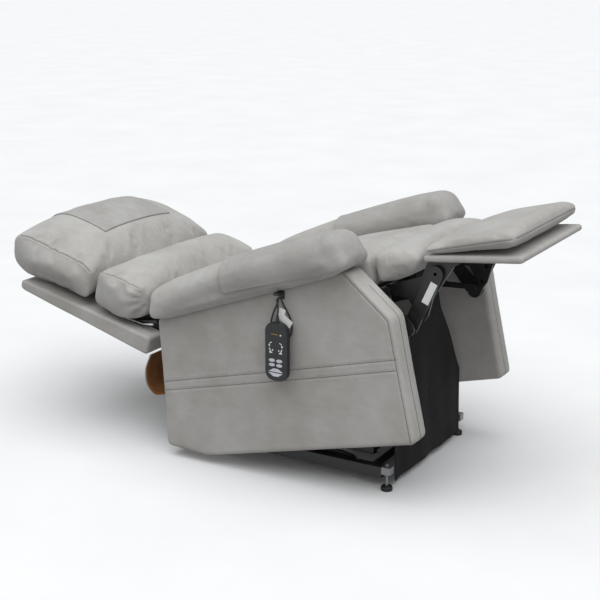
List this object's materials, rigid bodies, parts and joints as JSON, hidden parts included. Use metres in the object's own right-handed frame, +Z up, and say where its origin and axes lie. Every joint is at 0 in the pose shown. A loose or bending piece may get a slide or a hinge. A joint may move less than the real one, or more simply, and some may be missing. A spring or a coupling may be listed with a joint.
{
  "type": "lift recliner chair",
  "caption": "Upholstered lift recliner, laid back with its footrest out, on a low steel lifting base with a corded handset under one arm.",
  "frame": {"origin": "on the floor under the middle of the chair's box", "axes": "+X to the sitter's left, +Y towards the backrest, +Z up"},
  "size_m": [0.83, 1.6936, 0.799],
  "materials": {
    "upholstery": "grey suede-look microfibre",
    "black_steel": "black powder coat",
    "grey_steel": "light grey paint",
    "black_cloth": "thin black dust cloth",
    "glide_plastic": "matt black",
    "motor_plastic": "fine textured black",
    "bright_steel": "ground rod",
    "handset_plastic": "satin black",
    "key_plastic": "pale keys",
    "cord_rubber": "soft black cord"
  },
  "bodies": {
    "base": {"base_rail_left": "black_steel", "base_rail_right": "black_steel", "base_front_bracket_left": "grey_steel", "base_front_bracket_right": "grey_steel", "base_tube_front": "black_steel", "base_tube_rear": "black_steel", "glide_pad_front_left": "glide_plastic", "glide_pad_front_right": "glide_plastic", "glide_pad_rear_left": "glide_plastic", "glide_pad_rear_right": "glide_plastic"},
    "lift_arm": {"lift_arm": "black_steel"},
    "carriage": {"carriage_rail_left": "black_steel", "carriage_rail_right": "black_steel", "carriage_tube_front": "black_steel", "carriage_tube_middle": "black_steel", "carriage_tube_rear": "black_steel", "front_skirt": "black_cloth"},
    "lift_motor": {"lift_motor_housing": "motor_plastic"},
    "lift_motor_rod": {"lift_motor_rod": "bright_steel"},
    "seat": {"seat_rail_left": "black_steel", "seat_rail_right": "black_steel", "footrest_mount_left": "black_steel", "footrest_mount_right": "black_steel", "seat_tube_front": "black_steel", "seat_tube_rear": "black_steel", "seat_deck": "black_cloth", "control_box": "motor_plastic", "seat_cushion": "upholstery", "seat_front": "upholstery", "arm_panel_left": "upholstery", "arm_panel_right": "upholstery", "arm_roll_left": "upholstery", "arm_roll_right": "upholstery", "arm_cover_left": "upholstery", "arm_cover_right": "upholstery", "handset_hook": "black_steel"},
    "recline_motor": {"recline_motor_housing": "motor_plastic"},
    "recline_motor_rod": {"recline_motor_rod": "bright_steel"},
    "back": {"outer_back": "upholstery", "back_frame": "black_steel", "lower_pillow": "upholstery", "middle_pillow": "upholstery", "head_pillow": "upholstery", "head_cover": "upholstery"},
    "flap": {"back_flap": "upholstery"},
    "footrest": {"footrest_board": "upholstery", "calf_pad": "upholstery", "footrest_arm_left": "black_steel", "footrest_arm_right": "black_steel"},
    "footrest_braces": {"footrest_brace_left": "black_steel", "footrest_brace_right": "black_steel"},
    "handset": {"handset_shell": "handset_plastic", "handset_lead": "cord_rubber", "handset_slack": "cord_rubber"},
    "key_back_up": {"key_back_up": "key_plastic"},
    "key_back_down": {"key_back_down": "key_plastic"},
    "key_feet_up": {"key_feet_up": "key_plastic"},
    "key_feet_down": {"key_feet_down": "key_plastic"},
    "key_lift_up": {"key_lift_up": "key_plastic"},
    "key_lift_down": {"key_lift_down": "key_plastic"}
  },
  "joints": [
    {"name": "lift", "type": "hinge", "parent": "base", "child": "lift_arm", "pos_m": [0, -0.3453, 0.055], "axis": [1, 0, 0], "range_deg": [0, 42]},
    {"name": "carriage_pitch", "type": "hinge", "parent": "lift_arm", "child": "carriage", "pos_m": [0, 0.0447, 0.1], "axis": [1, 0, 0], "range_deg": [-20.01, 0.01]},
    {"name": "lift_motor_swing", "type": "hinge", "parent": "base", "child": "lift_motor", "pos_m": [0, 0.1587, 0.057], "axis": [1, 0, 0], "range_deg": [-17.79, 0.02]},
    {"name": "lift_motor_stroke", "type": "slide", "parent": "lift_motor", "child": "lift_motor_rod", "axis": [0, -0.9918, 0.1277], "range_m": [-0.0001, 0.15846]},
    {"name": "tilt", "type": "hinge", "parent": "carriage", "child": "seat", "pos_m": [0, 0.0707, 0.1], "axis": [1, 0, 0], "range_deg": [0, 14.28], "deforming": ["front_skirt"]},
    {"name": "recline", "type": "hinge", "parent": "seat", "child": "back", "pos_m": [0, 0.13282, 0.42267], "axis": [1, 0, 0], "range_deg": [0, 45]},
    {"name": "flap_hinge", "type": "hinge", "parent": "back", "child": "flap", "pos_m": [0, 0.31951, 0.29261], "axis": [1, 0, 0], "range_deg": [-54.01, 0.01]},
    {"name": "recline_motor_swing", "type": "hinge", "parent": "seat", "child": "recline_motor", "pos_m": [0, -0.4144, 0.52274], "axis": [1, 0, 0], "range_deg": [-0.01, 3.26]},
    {"name": "recline_motor_stroke", "type": "slide", "parent": "recline_motor", "child": "recline_motor_rod", "axis": [0, 0.9284, -0.3715], "range_m": [-0.0001, 0.07793]},
    {"name": "footrest", "type": "hinge", "parent": "seat", "child": "footrest", "pos_m": [0, -0.45609, 0.58598], "axis": [1, 0, 0], "range_deg": [0, 81.5]},
    {"name": "footrest_brace", "type": "hinge", "parent": "seat", "child": "footrest_braces", "pos_m": [0, -0.52611, 0.48926], "axis": [1, 0, 0], "range_deg": [-0.01, 140.01]},
    {"name": "handset_swing", "type": "hinge", "parent": "seat", "child": "handset", "pos_m": [-0.384, -0.19278, 0.56643], "axis": [1, 0, 0], "range_deg": [-38, 12]},
    {"name": "press_back_up", "type": "slide", "parent": "handset", "child": "key_back_up", "axis": [1, 0, 0], "range_m": [0, 0.001], "stiffness_N_per_m": 400},
    {"name": "press_back_down", "type": "slide", "parent": "handset", "child": "key_back_down", "axis": [1, 0, 0], "range_m": [0, 0.001], "stiffness_N_per_m": 400},
    {"name": "press_feet_up", "type": "slide", "parent": "handset", "child": "key_feet_up", "axis": [1, 0, 0], "range_m": [0, 0.001], "stiffness_N_per_m": 400},
    {"name": "press_feet_down", "type": "slide", "parent": "handset", "child": "key_feet_down", "axis": [1, 0, 0], "range_m": [0, 0.001], "stiffness_N_per_m": 400},
    {"name": "press_lift_up", "type": "slide", "parent": "handset", "child": "key_lift_up", "axis": [1, 0, 0], "range_m": [0, 0.001], "stiffness_N_per_m": 400},
    {"name": "press_lift_down", "type": "slide", "parent": "handset", "child": "key_lift_down", "axis": [1, 0, 0], "range_m": [0, 0.001], "stiffness_N_per_m": 400}
  ],
  "couplings": [
    {"joint": "carriage_pitch", "follows": "lift", "ratio": -0.47619},
    {"joint": "lift_motor_swing", "follows": "lift", "ratio": -0.42297},
    {"joint": "lift_motor_stroke", "follows": "lift", "m_per_rad": 0.21589},
    {"joint": "flap_hinge", "follows": "recline", "ratio": -1.2},
    {"joint": "recline_motor_swing", "follows": "recline", "ratio": 0.072078},
    {"joint": "recline_motor_stroke", "follows": "recline", "m_per_rad": 0.098965},
    {"joint": "footrest_brace", "follows": "footrest", "ratio": 1.7178}
  ]
}
